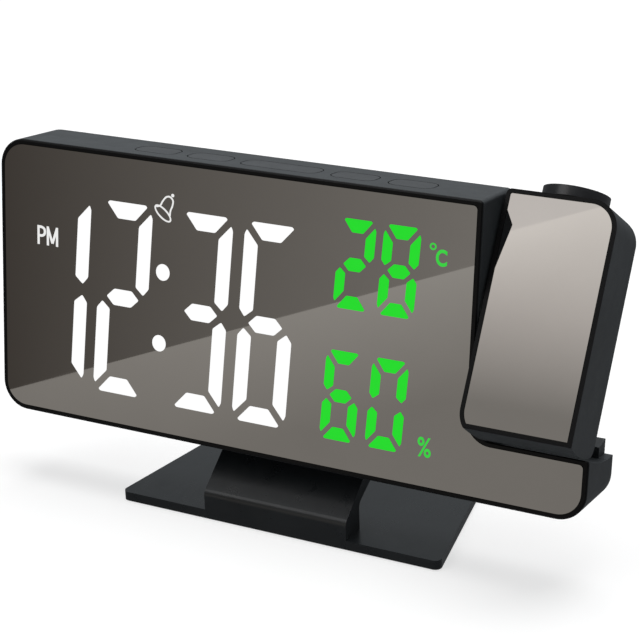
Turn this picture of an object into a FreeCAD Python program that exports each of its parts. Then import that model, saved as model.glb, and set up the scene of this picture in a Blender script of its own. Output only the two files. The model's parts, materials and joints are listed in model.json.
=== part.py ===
import FreeCAD, Part
import math
import os

os.makedirs("parts", exist_ok=True)

V = FreeCAD.Vector

# Projection alarm clock: a thin mirror-fronted body with a projector head in a notch, on a flat desk stand.
# Sizes are millimetres and degrees.
# Body axes: x runs along the width from the left end, y into the depth from the mirror face, z up.

# Body shell
body_width = 190.0
body_height = 84.3
body_depth = 20.0
parting_depth = 15.0
corner_radius = 8.5
wall = 1.8
rim = 1.45
front_bevel = 0.5
edge_corner = 1.2
lean_back = 7.63

# Notch that holds the projector head
notch_width = 34.1
notch_floor = 18.3
notch_radius = 5.8
floor_dip_middle = 2.9
floor_dip_rear = 4.3
floor_front_rise = 0.4
lip_end_gap = 2.4

# Mirror and display stack
mirror_thickness = 1.5
mirror_gap = 0.05
ledge_depth = 1.6
window_inset = 4.0
film_thickness = 0.3
reflector_depth = 3.9
board_thickness = 1.6
stack_left = 12.2
stack_right = 44.5
stack_bottom = 5.0
stack_top = 5.3

# Fits
fit_gap = 0.3
running_gap = 0.05
seat_gap = 0.15
past = 1.0
root = 0.5

# Stand
base_front_width = 106.0
base_depth = 58.0
base_thickness = 2.9
base_taper = 9.4
base_corner = 2.0
pad_thickness = 0.8
pad_stand_out = 0.4
pad_inset = 3.0
neck_width = 47.0
neck_front_height = 9.0
neck_slope = 37.0
neck_foot_depth = 8.8
neck_back_height = 11.2
neck_nose_radius = 2.5
neck_wall = 2.2
neck_throat = 4.4
body_setback = 0.7
body_lift = 24.0
tongue_height = 26.0
tongue_thickness = 2.4

# Top keys
key_start = body_width * 0.2274
key_width = body_width * 0.07
long_key_width = body_width * 0.1284
key_gap = body_width * 0.02263
key_depth = 8.0
key_middle = 9.2
key_corner = 3.0
key_travel = 0.8
key_flange = 0.8
key_flange_thickness = 1.2
key_stem_drop = 2.4
key_stem_size = 3.0
key_sink = 0.2

# Key board and switches
key_board_thickness = 1.2
switch_size = 5.0
switch_height = 2.6
switch_button_radius = 1.6
switch_button_height = 0.6
key_board_margin = 3.0
key_board_edge = 1.0

# Fasteners
screw_radius = 1.2
screw_head_radius = 2.3
screw_head_height = 1.4
screw_length = 9.0
boss_radius = 3.0
pilot_gap = 0.05
screw_recess = 3.0
slot_width = 0.6

# Hinge of the projector head
axle_radius = 4.0
axle_bore = 2.6
bush_wall = 1.3
bush_flange = 1.6
bush_flange_thickness = 0.6
bush_length = 3.4
washer_thickness = 0.8
clip_thickness = 0.8
clip_radius = 6.2
axle_flange_thickness = 1.2
cable_radius = 1.4
cable_tail = 4.0
axle_tail = 1.0
groove_depth = 0.6
header_height = 6.0
header_lip = 1.0
header_length = 6.5

# Projector head
head_side_gap = 0.9
head_right_inset = 1.0
head_tilt = 24.34
head_wall = 1.6
head_rim = 1.15
head_parting = 14.6
head_big_radius = 8.0
head_small_radius = 1.5
head_least_radius = 0.5
head_rear_radius = 4.0
head_window_inset = 3.0
head_boss_gap = 0.4
sweep_gap = 0.35
sweep_corner = 3.2

# Focus ring and optics
ring_radius = 9.3
ring_height = 2.8
ring_neck_radius = 6.3
ring_hook = 0.35
ring_hook_height = 1.2
ring_overlap = 0.5
barrel_radius = 5.2
barrel_bore = 4.4
barrel_length = 15.0
barrel_sink = 0.9
lens_rise = 0.9
lens_edge = 1.4
lens_seat = 0.4
lens_sink = 0.3
lens_clearance = 0.5
tube_radius = 6.8
tube_bore = 6.0
tube_length = 38.0
slide_thickness = 1.1
condenser_rise = 2.2
slide_ledge = 2.0
ledge_width = 1.0
ledge_root = 0.2
board_size = 15.0
led_size = 3.5

# Rear face fittings
usb_width = 13.2
usb_height = 5.7
usb_shell = 0.35
usb_mouth_depth = 1.5
usb_tongue_inset = 1.0
usb_from_left = 30.0
usb_up = 18.0
inlet_size = 7.5
inlet_bore = 1.8
inlet_floor = 2.0
inlet_from_left = 50.0
speaker_radius = 10.0
speaker_depth = 4.5
speaker_rim = 2.0
speaker_cone_drop = 0.6
speaker_from_left = 38.0
speaker_up = 48.0
sound_hole_radius = 0.7
sound_ring_step = 2.8
sound_rings = 3
holes_per_ring = 6
sensor_width = 12.0
sensor_height = 10.0
sensor_depth = 3.5
sensor_from_left = 75.0
sensor_up = 60.0
vent_slots = 5
vent_length = 9.0
vent_width = 1.1
vent_pitch = 2.6
cell_radius = 10.0
cell_thickness = 3.2
cell_from_notch = 30.9
cell_up = 48.0
door_width = 27.0
door_height = 24.0
door_thickness = 1.5
holder_wall = 1.2
contact_thickness = 0.3
contact_width = 4.0
contact_end_gap = 1.0

# Places worked out from the sizes above
notch_left = body_width - notch_width
cell_from_left = notch_left - cell_from_notch
head_left = notch_left + head_side_gap
head_right = body_width - head_right_inset
head_bottom = notch_floor + fit_gap
half_head = (body_height - head_bottom) / 2
hinge_height = head_bottom + half_head
hinge_depth = body_depth / 2
sweep_radius = math.hypot(half_head, hinge_depth)
optic_x = (head_left + head_right) / 2
front_stack = mirror_thickness + mirror_gap
reflector_front = front_stack + film_thickness
board_front = reflector_front + reflector_depth
board_back = board_front + board_thickness
cover_inner = body_depth - wall
screw_seat = body_depth - screw_recess


# Outline helpers
def front_plane(y):
    return lambda a, b: V(a, y, b)


def side_plane(x):
    return lambda a, b: V(x, a, b)


def top_plane(z):
    return lambda a, b: V(a, b, z)


def outline(corners, place):
    # Each corner is (a, b, radius); a radius of zero leaves the corner sharp.
    count = len(corners)
    starts = []
    ends = []
    middles = []
    for i in range(count):
        a, b, radius = corners[i]
        point = V(a, b, 0)
        before = V(corners[i - 1][0], corners[i - 1][1], 0) - point
        after = V(corners[(i + 1) % count][0], corners[(i + 1) % count][1], 0) - point
        before.normalize()
        after.normalize()
        if radius <= 0:
            starts.append(point)
            ends.append(point)
            middles.append(None)
            continue
        half = before.getAngle(after) / 2
        reach = radius / math.tan(half)
        bisector = (before + after).normalize()
        middle = point + bisector * (radius / math.sin(half) - radius)
        starts.append(point + before * reach)
        ends.append(point + after * reach)
        middles.append(middle)
    edges = []
    for i in range(count):
        if middles[i] is not None:
            arc_points = [place(p.x, p.y) for p in (starts[i], middles[i], ends[i])]
            edges.append(Part.Arc(*arc_points).toShape())
        line_start = place(ends[i].x, ends[i].y)
        following = starts[(i + 1) % count]
        line_end = place(following.x, following.y)
        if line_start.distanceToPoint(line_end) > 1e-6:
            edges.append(Part.LineSegment(line_start, line_end).toShape())
    return Part.Face(Part.Wire(edges))


def plate_front(corners, y_from, y_to):
    return outline(corners, front_plane(y_from)).extrude(V(0, y_to - y_from, 0))


def plate_side(corners, x_from, x_to):
    return outline(corners, side_plane(x_from)).extrude(V(x_to - x_from, 0, 0))


def plate_top(corners, z_from, z_to):
    return outline(corners, top_plane(z_from)).extrude(V(0, 0, z_to - z_from))


def block(x_from, x_to, y_from, y_to, z_from, z_to):
    return Part.makeBox(x_to - x_from, y_to - y_from, z_to - z_from, V(x_from, y_from, z_from))


def rectangle(a_from, a_to, b_from, b_to, radius=0.0):
    return [(a_from, b_from, radius), (a_to, b_from, radius), (a_to, b_to, radius), (a_from, b_to, radius)]


def rod(radius, start, length, direction):
    return Part.makeCylinder(radius, length, start, direction)


def along_y(radius, x, z, y_from, y_to):
    return rod(radius, V(x, y_from, z), y_to - y_from, V(0, 1, 0))


def along_x(radius, x_from, x_to):
    return rod(radius, V(x_from, hinge_depth, hinge_height), x_to - x_from, V(1, 0, 0))


def along_z(radius, z_from, z_to):
    return rod(radius, V(optic_x, hinge_depth, z_from), z_to - z_from, V(0, 0, 1))


def fused(solids):
    whole = solids[0]
    for solid in solids[1:]:
        whole = whole.fuse(solid)
    return whole.removeSplitter()


# Placing: the head tilts about its hinge, then the whole body leans back and rises above the stand
head_turn = FreeCAD.Placement(
    V(0, 0, 0), FreeCAD.Rotation(V(1, 0, 0), -head_tilt), V(0, hinge_depth, hinge_height)
)
body_turn = FreeCAD.Placement(
    V(-body_width / 2, body_setback - base_depth / 2, body_lift), FreeCAD.Rotation(V(1, 0, 0), -lean_back)
)


def save(name, shape, placement):
    placed = shape.transformed(placement.toMatrix())
    placed.exportStep("parts/" + name + ".step")
    solids = len(placed.Solids)
    print(name, "solids", solids, "valid", placed.isValid(), "volume", round(placed.Volume, 1))


def save_body(name, shape):
    save(name, shape, body_turn)


def save_head(name, shape):
    save(name, shape, body_turn.multiply(head_turn))


# Stand: foot plate, sloped neck cored from behind, and the tongue that lies in the rear cover
def body_point(y, z):
    lean = math.radians(lean_back)
    return (
        y * math.cos(lean) + z * math.sin(lean) + body_setback,
        -y * math.sin(lean) + z * math.cos(lean) + body_lift,
    )


def meet(point, angle, other_point, other_angle):
    # Crossing of two lines, each given by a point and its angle in degrees.
    a = math.radians(angle)
    b = math.radians(other_angle)
    across = other_point[0] - point[0]
    up = other_point[1] - point[1]
    reach = (across * math.sin(b) - up * math.cos(b)) / math.sin(b - a)
    return (point[0] + reach * math.cos(a), point[1] + reach * math.sin(a))


plate_bottom = pad_stand_out
plate_top_height = plate_bottom + base_thickness
half_front = base_front_width / 2
half_rear = half_front - base_depth * math.tan(math.radians(base_taper))
foot = plate_top(
    [
        (-half_front, 0, base_corner),
        (half_front, 0, base_corner),
        (half_rear, base_depth, base_corner),
        (-half_rear, base_depth, base_corner),
    ],
    plate_bottom,
    plate_top_height,
)
pad_top = pad_thickness
pad_bed = plate_top(
    [
        (-half_front + pad_inset, pad_inset, base_corner),
        (half_front - pad_inset, pad_inset, base_corner),
        (half_rear - pad_inset, base_depth - pad_inset, base_corner),
        (-half_rear + pad_inset, base_depth - pad_inset, base_corner),
    ],
    plate_bottom - past,
    pad_top,
)
anti_slip_pad = plate_top(
    [
        (-half_front + pad_inset + seat_gap, pad_inset + seat_gap, base_corner),
        (half_front - pad_inset - seat_gap, pad_inset + seat_gap, base_corner),
        (half_rear - pad_inset - seat_gap, base_depth - pad_inset - seat_gap, base_corner),
        (-half_rear + pad_inset + seat_gap, base_depth - pad_inset - seat_gap, base_corner),
    ],
    0,
    pad_top,
)

tongue_front = body_depth - tongue_thickness
crest = (0, neck_front_height)
under_body = body_point(0, -seat_gap)
slope_end = meet(crest, neck_slope, under_body, -lean_back)
tongue_foot = body_point(tongue_front, -seat_gap)
tongue_top_front = body_point(tongue_front, tongue_height)
tongue_top_rear = body_point(body_depth, tongue_height)
throat = body_point(body_depth, -neck_throat)
neck_back = (neck_foot_depth, neck_back_height)
neck_profile = [
    (0, plate_top_height - seat_gap, 0),
    (0, neck_front_height, neck_nose_radius),
    (slope_end[0], slope_end[1], 0),
    (tongue_foot[0], tongue_foot[1], 0),
    (tongue_top_front[0], tongue_top_front[1], 0),
    (tongue_top_rear[0], tongue_top_rear[1], 0),
    (throat[0], throat[1], neck_foot_depth / 2),
    (neck_back[0], neck_back[1], neck_foot_depth / 3),
    (neck_foot_depth, plate_top_height - seat_gap, 0),
]
neck = plate_side(neck_profile, -neck_width / 2, neck_width / 2)
core_front = (neck_wall, neck_front_height - neck_wall / 2)
core_profile = [
    (core_front[0], plate_top_height, 0),
    (core_front[0], core_front[1], neck_nose_radius / 2),
    (neck_foot_depth + past, core_front[1] + neck_foot_depth * math.tan(math.radians(neck_slope)) / 3, 0),
    (neck_foot_depth + past, plate_top_height, 0),
]
core_count = 3
core_width = (neck_width - neck_wall * (core_count + 1)) / core_count
stand = foot.fuse(neck)
for i in range(core_count):
    core_left = -neck_width / 2 + neck_wall + i * (core_width + neck_wall)
    stand = stand.cut(plate_side(core_profile, core_left, core_left + core_width))
stand = stand.cut(pad_bed).removeSplitter()

stand_screw_x = neck_width / 2 - boss_radius * 3
stand_screw_up = tongue_height - boss_radius * 3
stand_screws_at = [
    (body_width / 2 - stand_screw_x, stand_screw_up),
    (body_width / 2 + stand_screw_x, stand_screw_up),
]
tongue_seat = body_depth - tongue_thickness / 2
stand_placement = FreeCAD.Placement(V(0, -base_depth / 2, 0), FreeCAD.Rotation())
body_from_stand = stand_placement.inverse().multiply(body_turn)
for x, z in stand_screws_at:
    hole = along_y(screw_radius + fit_gap, x, z, tongue_front - past, body_depth + past)
    recess = along_y(screw_head_radius + fit_gap, x, z, tongue_seat, body_depth + past)
    stand = stand.cut(hole.fuse(recess).transformed(body_from_stand.toMatrix()))
save("stand", stand, stand_placement)
save("anti_slip_pad", anti_slip_pad, stand_placement)


def screw(x, z, seat, length):
    # The head sits outward of the seat, on the rear side, and the shank points to the front.
    head = along_y(screw_head_radius, x, z, seat, seat + screw_head_height)
    slot = block(x - screw_head_radius, x + screw_head_radius, seat + screw_head_height / 2,
                 seat + screw_head_height + past, z - slot_width / 2, z + slot_width / 2)
    shank = along_y(screw_radius, x, z, seat - length, seat)
    return head.cut(slot).fuse(shank)


stand_screw_head = tongue_thickness / 2
save_body(
    "stand_screws",
    Part.makeCompound([
        along_y(screw_head_radius, x, z, tongue_seat, tongue_seat + stand_screw_head).fuse(
            along_y(screw_radius, x, z, tongue_seat - screw_length, tongue_seat))
        for x, z in stand_screws_at
    ]),
)


# Body outline: an L whose missing corner is the notch of the projector head
def body_outline(inset, floor):
    outer = max(corner_radius - inset, edge_corner)
    return [
        (inset, inset, outer),
        (body_width - inset, inset, outer),
        (body_width - inset, floor - inset, edge_corner),
        (notch_left - inset, floor - inset, notch_radius + inset),
        (notch_left - inset, body_height - inset, edge_corner),
        (inset, body_height - inset, outer),
    ]


def sweep_room():
    # Room for the turning head: a round of the hinge axis, rounded at its inner end.
    reach = sweep_radius + sweep_gap
    start = head_left - head_side_gap / 2
    profile = outline(
        [
            (start, hinge_height, 0),
            (body_width + past, hinge_height, 0),
            (body_width + past, hinge_height - reach, 0),
            (start, hinge_height - reach, sweep_corner),
        ],
        front_plane(hinge_depth),
    )
    return profile.revolve(V(0, hinge_depth, hinge_height), V(1, 0, 0), 360)


def dip_room(x_from, x_to):
    # The notch floor falls away towards the rear in one arc.
    front = V(x_from, -past, notch_floor + floor_front_rise)
    middle = V(x_from, hinge_depth * 0.75, notch_floor - floor_dip_middle)
    rear = V(x_from, body_depth + past, notch_floor - floor_dip_rear - fit_gap)
    top_front = V(x_from, -past, hinge_height)
    top_rear = V(x_from, body_depth + past, hinge_height)
    edges = [
        Part.Arc(front, middle, rear).toShape(),
        Part.LineSegment(rear, top_rear).toShape(),
        Part.LineSegment(top_rear, top_front).toShape(),
        Part.LineSegment(top_front, front).toShape(),
    ]
    return Part.Face(Part.Wire(edges)).extrude(V(x_to - x_from, 0, 0))


dip_start = notch_left + notch_radius
inner_floor = notch_floor - floor_dip_rear - fit_gap
boss_edge = wall + boss_radius
block_boss_inset = boss_edge + rim
case_bosses_at = [
    (boss_edge + wall, corner_radius),
    (boss_edge + wall, body_height - corner_radius),
    (notch_left - boss_edge - wall, boss_edge + wall),
    (notch_left - boss_edge - wall, body_height - corner_radius),
    (body_width - block_boss_inset, block_boss_inset),
]

keys_x = []
next_left = key_start
for key_name in ("mode_key", "down_key", "snooze_key", "up_key", "projection_key"):
    width = long_key_width if key_name == "snooze_key" else key_width
    keys_x.append((key_name, next_left, next_left + width))
    next_left = next_left + width + key_gap
key_front = key_middle - key_depth / 2
key_rear = key_middle + key_depth / 2

front_case = plate_front(body_outline(0, notch_floor), 0, parting_depth)
bevel_edges = [edge for edge in front_case.Edges if edge.BoundBox.YMax < 0.001]
front_case = front_case.makeChamfer(front_bevel, bevel_edges)
cavity_from = ledge_depth + wall
front_case = front_case.cut(plate_front(body_outline(wall, inner_floor), cavity_from, parting_depth + past))
front_case = front_case.cut(plate_front(body_outline(rim, notch_floor), -past, front_stack))
front_case = front_case.cut(plate_front(body_outline(window_inset, inner_floor), -past, cavity_from + past))
front_case = front_case.cut(dip_room(dip_start, body_width + past))
front_case = front_case.cut(sweep_room())
for x, z in case_bosses_at:
    boss = along_y(boss_radius, x, z, cavity_from - root, parting_depth)
    front_case = front_case.fuse(boss)
for x, z in case_bosses_at:
    front_case = front_case.cut(along_y(screw_radius + pilot_gap, x, z, parting_depth - screw_length,
        body_depth))
for key_name, left, right in keys_x:
    slot = rectangle(left - fit_gap, right + fit_gap, key_front - fit_gap, key_rear + fit_gap,
        key_corner + fit_gap)
    front_case = front_case.cut(plate_top(slot, body_height - wall - past, body_height + past))
bush_radius = axle_radius + running_gap + bush_wall
bush_hole_radius = bush_radius + running_gap
front_case = front_case.cut(along_x(bush_hole_radius, notch_left - wall - past, notch_left + past))
front_case = front_case.removeSplitter()
save_body("front_case", front_case)

front_mirror = plate_front(body_outline(rim + seat_gap, notch_floor), 0, mirror_thickness)
save_body("front_mirror", front_mirror.cut(sweep_room()))


# Rear cover: a shallow tray with the lip behind the head, stand recess, ports, vents and battery bay
lip_room = block(body_width - lip_end_gap, body_width + past, parting_depth - past, body_depth + past,
                 notch_floor - floor_dip_rear, hinge_height)
rear_cover = plate_front(body_outline(0, notch_floor + wall), parting_depth, body_depth)
rear_cover = rear_cover.cut(lip_room)
rear_cover = rear_cover.cut(sweep_room())
rear_cover = rear_cover.cut(plate_front(body_outline(wall, inner_floor), parting_depth - past, cover_inner))
recess_side = neck_width / 2 + seat_gap
recess_left = body_width / 2 - recess_side
recess_right = body_width / 2 + recess_side
recess_floor = tongue_front - seat_gap
recess_back = recess_floor - wall
rear_cover = rear_cover.fuse(block(recess_left - wall, recess_right + wall, recess_back, cover_inner + root,
                                   wall / 2, tongue_height + seat_gap + wall))
rear_cover = rear_cover.cut(block(recess_left, recess_right, recess_floor, body_depth + past,
                                  -past, tongue_height + seat_gap))
for x, z in stand_screws_at:
    rear_cover = rear_cover.fuse(along_y(boss_radius, x, z, tongue_seat - screw_length - past,
        recess_back + root))
for x, z in stand_screws_at:
    rear_cover = rear_cover.cut(along_y(screw_radius + pilot_gap, x, z, tongue_seat - screw_length,
        body_depth))
for x, z in case_bosses_at:
    rear_cover = rear_cover.fuse(along_y(boss_radius, x, z, parting_depth + fit_gap / 2,
        cover_inner + root))
for x, z in case_bosses_at:
    rear_cover = rear_cover.cut(along_y(screw_radius + fit_gap, x, z, parting_depth - past,
        body_depth + past))
    rear_cover = rear_cover.cut(along_y(screw_head_radius + fit_gap, x, z, screw_seat, body_depth + past))
save_body(
    "case_screws",
    Part.makeCompound([screw(x, z, screw_seat, screw_length) for x, z in case_bosses_at]),
)

# Ports
usb_room = block(usb_from_left - fit_gap, usb_from_left + usb_width + fit_gap, parting_depth,
    body_depth + past,
                 usb_up - fit_gap, usb_up + usb_height + fit_gap)
rear_cover = rear_cover.cut(usb_room)
usb_socket = block(usb_from_left, usb_from_left + usb_width, board_back, body_depth - seat_gap,
                   usb_up, usb_up + usb_height)
usb_mouth = block(usb_from_left + usb_shell, usb_from_left + usb_width - usb_shell,
    board_back + usb_mouth_depth, body_depth + past,
                  usb_up + usb_shell, usb_up + usb_height - usb_shell)
usb_tongue = block(usb_from_left + usb_tongue_inset, usb_from_left + usb_width - usb_tongue_inset,
                   board_back + usb_tongue_inset, body_depth - usb_tongue_inset,
                   usb_up + usb_height / 2, usb_up + usb_height - usb_tongue_inset)
save_body("usb_socket", usb_socket.cut(usb_mouth).fuse(usb_tongue).removeSplitter())

inlet_x = inlet_from_left + inlet_size / 2
inlet_z = usb_up + inlet_size / 2
dc_inlet = block(inlet_from_left, inlet_from_left + inlet_size, board_back, body_depth - seat_gap,
                 usb_up, usb_up + inlet_size)
dc_inlet = dc_inlet.cut(along_y(inlet_bore, inlet_x, inlet_z, board_back + inlet_floor, body_depth + past))
rear_cover = rear_cover.cut(block(inlet_from_left - fit_gap, inlet_from_left + inlet_size + fit_gap,
                                  parting_depth, body_depth + past,
                                  usb_up - fit_gap, usb_up + inlet_size + fit_gap))
save_body("dc_inlet", dc_inlet)

# Speaker behind rings of sound holes
speaker = along_y(speaker_radius, speaker_from_left, speaker_up, cover_inner - speaker_depth, cover_inner)
speaker = speaker.cut(along_y(speaker_radius - speaker_rim, speaker_from_left, speaker_up,
                              cover_inner - speaker_cone_drop, cover_inner + past))
save_body("speaker", speaker)
sound_holes = [along_y(sound_hole_radius, speaker_from_left, speaker_up, parting_depth, body_depth + past)]
for ring in range(1, sound_rings):
    holes = holes_per_ring * ring
    for i in range(holes):
        turn = 2 * math.pi * i / holes
        x = speaker_from_left + ring * sound_ring_step * math.cos(turn)
        z = speaker_up + ring * sound_ring_step * math.sin(turn)
        sound_holes.append(along_y(sound_hole_radius, x, z, parting_depth, body_depth + past))
for hole in sound_holes:
    rear_cover = rear_cover.cut(hole)

# Sensor behind short vent slots
sensor = block(sensor_from_left - sensor_width / 2, sensor_from_left + sensor_width / 2,
               cover_inner - sensor_depth, cover_inner,
               sensor_up - sensor_height / 2, sensor_up + sensor_height / 2)
save_body("room_sensor", sensor)
for i in range(vent_slots):
    z = sensor_up + (i - (vent_slots - 1) / 2) * vent_pitch
    slot = rectangle(sensor_from_left - vent_length / 2, sensor_from_left + vent_length / 2,
                     z - vent_width / 2, z + vent_width / 2)
    rear_cover = rear_cover.cut(plate_front(slot, parting_depth, body_depth + past))

# Battery bay: holder with the coin cell and its spring contact, behind a door hinged at its lower edge
door_left = cell_from_left - door_width / 2
door_right = cell_from_left + door_width / 2
door_bottom = cell_up - door_height / 2
door_top = cell_up + door_height / 2
door_pin_radius = door_thickness / 2
door_back = body_depth - door_thickness
door_pin_up = door_bottom + door_pin_radius
bay_room = block(door_left - fit_gap, door_right + fit_gap, door_back - fit_gap, body_depth + past,
                 door_bottom - fit_gap, door_top + fit_gap)
cell_room = along_y(cell_radius + fit_gap, cell_from_left, cell_up, parting_depth, body_depth + past)
rear_cover = rear_cover.fuse(block(door_left - wall, door_right + wall, door_back - fit_gap - wall,
    cover_inner + root,
                                   door_bottom - wall, door_top + wall))
rear_cover = rear_cover.cut(bay_room)
rear_cover = rear_cover.cut(cell_room)
battery_door = block(door_left, door_right, door_back, body_depth, door_pin_up, door_top)
battery_door = battery_door.fuse(rod(door_pin_radius, V(door_left, body_depth - door_pin_radius,
    door_pin_up),
                                     door_width, V(1, 0, 0)))
save_body("battery_door", battery_door.removeSplitter())
cell_back = door_back - fit_gap - wall - seat_gap
holder_top = cell_back
holder_bottom = holder_top - cell_thickness - holder_wall
battery_holder = along_y(cell_radius + fit_gap + holder_wall, cell_from_left, cell_up, holder_bottom,
    holder_top)
battery_holder = battery_holder.cut(
    along_y(cell_radius + seat_gap, cell_from_left, cell_up, holder_bottom + holder_wall,
        holder_top + past))
save_body("battery_holder", battery_holder)
coin_cell = along_y(cell_radius, cell_from_left, cell_up, holder_bottom + holder_wall, holder_top)
save_body("coin_cell", coin_cell)
contact_from = holder_top + seat_gap / 2
contact_reach = cell_radius - contact_end_gap
battery_contact = block(cell_from_left - contact_width / 2, cell_from_left + contact_width / 2,
                        contact_from, contact_from + contact_thickness,
                        cell_up - contact_reach, cell_up + contact_reach)
save_body("battery_contact", battery_contact)
rear_cover = rear_cover.cut(along_x(bush_hole_radius, notch_left - wall - past, notch_left + past))
save_body("rear_cover", rear_cover.removeSplitter())


# Display stack behind the mirror
stack_end = body_width - stack_right
stack_high = body_height - stack_top
save_body(
    "diffuser_film",
    plate_front(rectangle(stack_left, stack_end, stack_bottom, stack_high, edge_corner), front_stack,
        reflector_front),
)
save_body(
    "segment_reflector",
    plate_front(rectangle(stack_left, stack_end, stack_bottom, stack_high, edge_corner),
        reflector_front, board_front),
)
main_board = plate_front(rectangle(stack_left, stack_end, stack_bottom, stack_high, edge_corner),
    board_front, board_back)
save_body("main_board", main_board)


# Keys, their board and switches
switch_base = body_height - wall - fit_gap - key_flange_thickness - key_stem_drop - key_travel - seat_gap
switch_top = switch_base
switch_foot = switch_top - switch_button_height - switch_height
key_board_top = switch_foot
switch_y = board_back + seat_gap + switch_size / 2
key_board = block(keys_x[0][1] - key_board_margin, keys_x[-1][2] + key_board_margin,
                  board_back, board_back + switch_size + key_board_edge,
                  key_board_top - key_board_thickness, key_board_top)
save_body("key_board", key_board)
switches = []
for key_name, left, right in keys_x:
    middle = (left + right) / 2
    flange_top = body_height - wall - fit_gap
    cap = plate_top(rectangle(left, right, key_front, key_rear, key_corner), flange_top - key_sink,
        body_height)
    flange = plate_top(
        rectangle(left - key_flange, right + key_flange, key_front - key_flange, key_rear + key_flange,
            key_corner),
        flange_top - key_flange_thickness, flange_top)
    stem = block(middle - key_stem_size / 2, middle + key_stem_size / 2,
                 switch_y - key_stem_size / 2, switch_y + key_stem_size / 2,
                 flange_top - key_flange_thickness - key_stem_drop,
                 flange_top - key_flange_thickness + key_sink)
    save_body(key_name, fused([cap, flange, stem]))
    body = block(middle - switch_size / 2, middle + switch_size / 2, switch_y - switch_size / 2,
                 switch_y + switch_size / 2, switch_foot, switch_foot + switch_height)
    button = rod(switch_button_radius, V(middle, switch_y, switch_foot + switch_height),
                 switch_button_height, V(0, 0, 1))
    switches.append(body.fuse(button))
save_body("tact_switches", Part.makeCompound(switches))


# Hinge: flanged bush in the notch wall, hollow axle of the head, washer and clip inside the body
bush_inner_end = notch_left - bush_length
bush_bore = axle_radius + running_gap
hinge_bush = along_x(bush_radius, bush_inner_end, notch_left)
hinge_bush = hinge_bush.fuse(along_x(bush_radius + bush_flange, notch_left,
    notch_left + bush_flange_thickness))
hinge_bush = hinge_bush.cut(along_x(bush_bore, bush_inner_end - past,
    notch_left + bush_flange_thickness + past))
save_body("hinge_bush", hinge_bush.removeSplitter())
washer_from = bush_inner_end - washer_thickness
hinge_washer = along_x(clip_radius, washer_from, bush_inner_end).cut(along_x(bush_bore,
    washer_from - past, notch_left))
save_body("hinge_washer", hinge_washer)
clip_to = washer_from - fit_gap
clip_from = clip_to - clip_thickness
axle_start = clip_from - axle_tail
axle_end = head_left + head_wall + axle_flange_thickness
hinge_axle = along_x(axle_radius, axle_start, axle_end)
hinge_axle = hinge_axle.fuse(along_x(clip_radius, head_left + head_wall, axle_end))
groove_radius = axle_radius - groove_depth
groove = along_x(axle_radius + past, clip_from, clip_to).cut(along_x(groove_radius, clip_from, clip_to))
hinge_axle = hinge_axle.cut(groove).cut(along_x(axle_bore, axle_start - past, axle_end + past))
save_head("hinge_axle", hinge_axle.removeSplitter())
hinge_clip = along_x(clip_radius, clip_from, clip_to)
hinge_clip = hinge_clip.cut(along_x(groove_radius, clip_from - past, clip_to + past))
save_head("hinge_clip", hinge_clip)
cable_start = axle_start - cable_tail
cable_end = optic_x - tube_radius - seat_gap
save_head("projector_cable", along_x(cable_radius, cable_start, cable_end))
header_end = cable_start - fit_gap
cable_header = block(header_end - header_length, header_end, board_back,
    hinge_depth + cable_radius + header_lip,
                     hinge_height - header_height / 2, hinge_height + header_height / 2)
save_body("cable_header", cable_header)


# Projector head: two shells with a mirror front and a rounded underside that is concentric with the hinge
def head_outline(inset):
    big = head_big_radius - inset
    small = max(head_small_radius - inset, head_least_radius)
    low = hinge_height - sweep_radius - head_small_radius
    return [
        (head_left + inset, low + inset, big),
        (head_right - inset, low + inset, small),
        (head_right - inset, body_height - inset, big),
        (head_left + inset, body_height - inset, small),
    ]


def head_side(inset, y_from, y_to):
    # Side view: the underside is an arc about the hinge, and the two rear corners are rounded.
    swing = sweep_radius - inset
    top = body_height - inset
    rear = body_depth - inset
    round_rear = head_rear_radius - inset
    rear_start = body_depth - head_rear_radius

    def under(y):
        return hinge_height - math.sqrt(swing * swing - (y - hinge_depth) ** 2)

    def spot(y, z):
        return V(head_left - past, y, z)

    part_way = math.sqrt(0.5)
    low_rear = under(rear_start)
    edges = [
        Part.Arc(spot(-past, under(-past)), spot(hinge_depth, under(hinge_depth)), spot(rear_start,
            low_rear)).toShape(),
        Part.Arc(spot(rear_start, low_rear),
                 spot(rear_start + round_rear * part_way, low_rear + round_rear * (1 - part_way)),
                 spot(rear, low_rear + round_rear)).toShape(),
        Part.LineSegment(spot(rear, low_rear + round_rear), spot(rear, top - round_rear)).toShape(),
        Part.Arc(spot(rear, top - round_rear),
                 spot(rear - round_rear * (1 - part_way), top - round_rear * (1 - part_way)),
                 spot(rear - round_rear, top)).toShape(),
        Part.LineSegment(spot(rear - round_rear, top), spot(-past, top)).toShape(),
        Part.LineSegment(spot(-past, top), spot(-past, under(-past))).toShape(),
    ]
    side = Part.Face(Part.Wire(edges)).extrude(V(head_right - head_left + 2 * past, 0, 0))
    return side.common(block(head_left - past, head_right + past, y_from, y_to, 0, body_height + past))


def head_block(inset, y_from, y_to):
    return plate_front(head_outline(inset), -past, body_depth + past).common(head_side(inset, y_from, y_to))


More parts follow.
